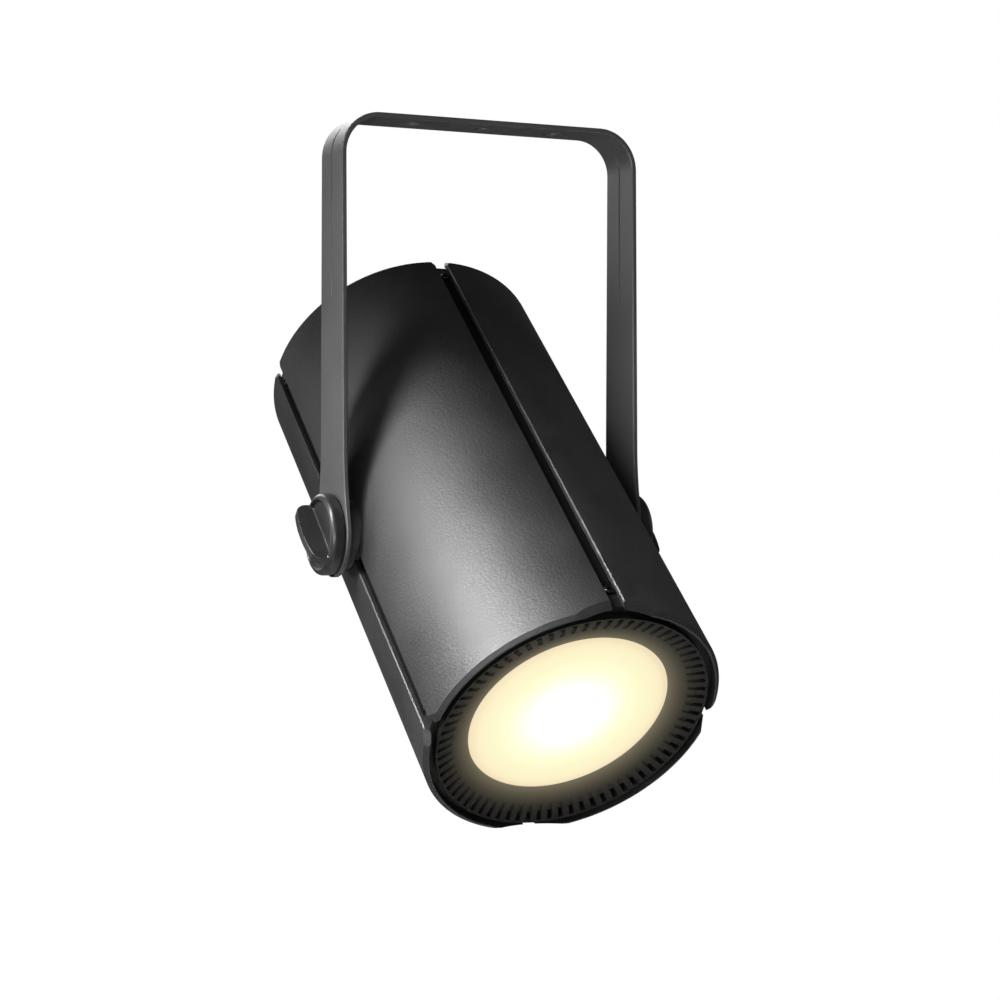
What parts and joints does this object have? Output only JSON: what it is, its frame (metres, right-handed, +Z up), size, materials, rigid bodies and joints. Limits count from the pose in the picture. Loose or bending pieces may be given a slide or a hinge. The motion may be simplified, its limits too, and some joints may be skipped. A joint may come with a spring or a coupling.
{
  "type": "theatre spot luminaire",
  "caption": "Cylindrical stage spot with four curved dark panels, a dished slotted bezel, a frosted lens, a bent bar yoke, tilt clamp knobs and a rear panel with keys and sockets.",
  "frame": {"origin": "centre hole of the yoke's top bar, on the bar's upper face", "axes": "+Z up, out of the hanging hole; +X along the tilt axis; the light leaves towards -Y and down"},
  "size_m": [0.2278, 0.346, 0.4064],
  "materials": {
    "yoke_paint": "satin powder coat",
    "panel_coat": "dark powder coat on extruded aluminium",
    "plate_coat": "dark powder coat on sheet",
    "rail_coat": "dark powder coat on extruded aluminium",
    "inner_aluminium": "machined",
    "bezel_plastic": "moulded, satin",
    "frosted_lens": "frosted",
    "led": "phosphor",
    "fan_plastic": "moulded",
    "circuit_board": "solder mask",
    "cover_plastic": "moulded, fine grain",
    "display_glass": "clear, dark behind",
    "key_plastic": "moulded",
    "socket_plastic": "moulded",
    "steel": "plain",
    "black_steel": "blackened",
    "knob_plastic": "moulded, satin",
    "friction_fibre": "pressed fibre"
  },
  "bodies": {
    "yoke": {"yoke": "yoke_paint"},
    "head": {"channel_screws": "black_steel", "connector_plate": "plate_coat", "control_board": "circuit_board", "data_inlet": "socket_plastic", "data_outlet": "socket_plastic", "display_module": "cover_plastic", "display_window": "display_glass", "fan_frame": "fan_plastic", "friction_washers": "friction_fibre", "front_bezel": "bezel_plastic", "front_frame": "inner_aluminium", "front_lens": "frosted_lens", "heat_sink": "inner_aluminium", "led_array": "led", "led_board": "inner_aluminium", "left_pivot_boss": "rail_coat", "left_pivot_plate": "steel", "mid_frame": "inner_aluminium", "panel_lower_left": "panel_coat", "panel_lower_right": "panel_coat", "panel_upper_left": "panel_coat", "panel_upper_right": "panel_coat", "power_inlet": "socket_plastic", "power_outlet": "socket_plastic", "power_supply": "inner_aluminium", "rail_bottom": "rail_coat", "rail_left": "rail_coat", "rail_right": "rail_coat", "rail_top": "rail_coat", "rear_cover": "cover_plastic", "rear_frame": "inner_aluminium", "rear_screws": "black_steel", "reflector": "inner_aluminium", "right_pivot_boss": "rail_coat", "right_pivot_plate": "steel", "safety_eye": "black_steel"},
    "left_clamp_washer": {"left_knob_washer": "steel"},
    "left_knob": {"left_clamp_knob": "knob_plastic", "left_knob_stud": "steel"},
    "right_clamp_washer": {"right_knob_washer": "steel"},
    "right_knob": {"right_clamp_knob": "knob_plastic", "right_knob_stud": "steel"},
    "fan": {"fan_rotor": "fan_plastic"},
    "button_1": {"menu_button_1": "key_plastic"},
    "button_2": {"menu_button_2": "key_plastic"},
    "button_3": {"menu_button_3": "key_plastic"},
    "button_4": {"menu_button_4": "key_plastic"}
  },
  "joints": [
    {"name": "head_tilt", "type": "hinge", "parent": "yoke", "child": "head", "pos_m": [0, 0, -0.242], "axis": [1, 0, 0], "range_deg": [-130, 140]},
    {"name": "left_clamp_slide", "type": "slide", "parent": "head", "child": "left_clamp_washer", "axis": [-1, 0, 0], "range_m": [0, 0.003]},
    {"name": "left_knob_turn", "type": "hinge", "parent": "left_clamp_washer", "child": "left_knob", "pos_m": [-0.095, 0, -0.242], "axis": [-1, 0, 0], "range_deg": [0, 720]},
    {"name": "right_clamp_slide", "type": "slide", "parent": "head", "child": "right_clamp_washer", "axis": [1, 0, 0], "range_m": [0, 0.003]},
    {"name": "right_knob_turn", "type": "hinge", "parent": "right_clamp_washer", "child": "right_knob", "pos_m": [0.095, 0, -0.242], "axis": [1, 0, 0], "range_deg": [0, 720]},
    {"name": "fan_spin", "type": "hinge", "parent": "head", "child": "fan", "pos_m": [0, 0, -0.242], "axis": [0, -0.7604, -0.6494], "continuous": true},
    {"name": "button_1_press", "type": "slide", "parent": "head", "child": "button_1", "axis": [0, -0.7604, -0.6494], "range_m": [0, 0.0008], "stiffness_N_per_m": 300},
    {"name": "button_2_press", "type": "slide", "parent": "head", "child": "button_2", "axis": [0, -0.7604, -0.6494], "range_m": [0, 0.0008], "stiffness_N_per_m": 300},
    {"name": "button_3_press", "type": "slide", "parent": "head", "child": "button_3", "axis": [0, -0.7604, -0.6494], "range_m": [0, 0.0008], "stiffness_N_per_m": 300},
    {"name": "button_4_press", "type": "slide", "parent": "head", "child": "button_4", "axis": [0, -0.7604, -0.6494], "range_m": [0, 0.0008], "stiffness_N_per_m": 300}
  ],
  "couplings": [
    {"joint": "left_clamp_slide", "follows": "left_knob_turn", "m_per_rad": 0.0002387},
    {"joint": "right_clamp_slide", "follows": "right_knob_turn", "m_per_rad": 0.0002387}
  ]
}
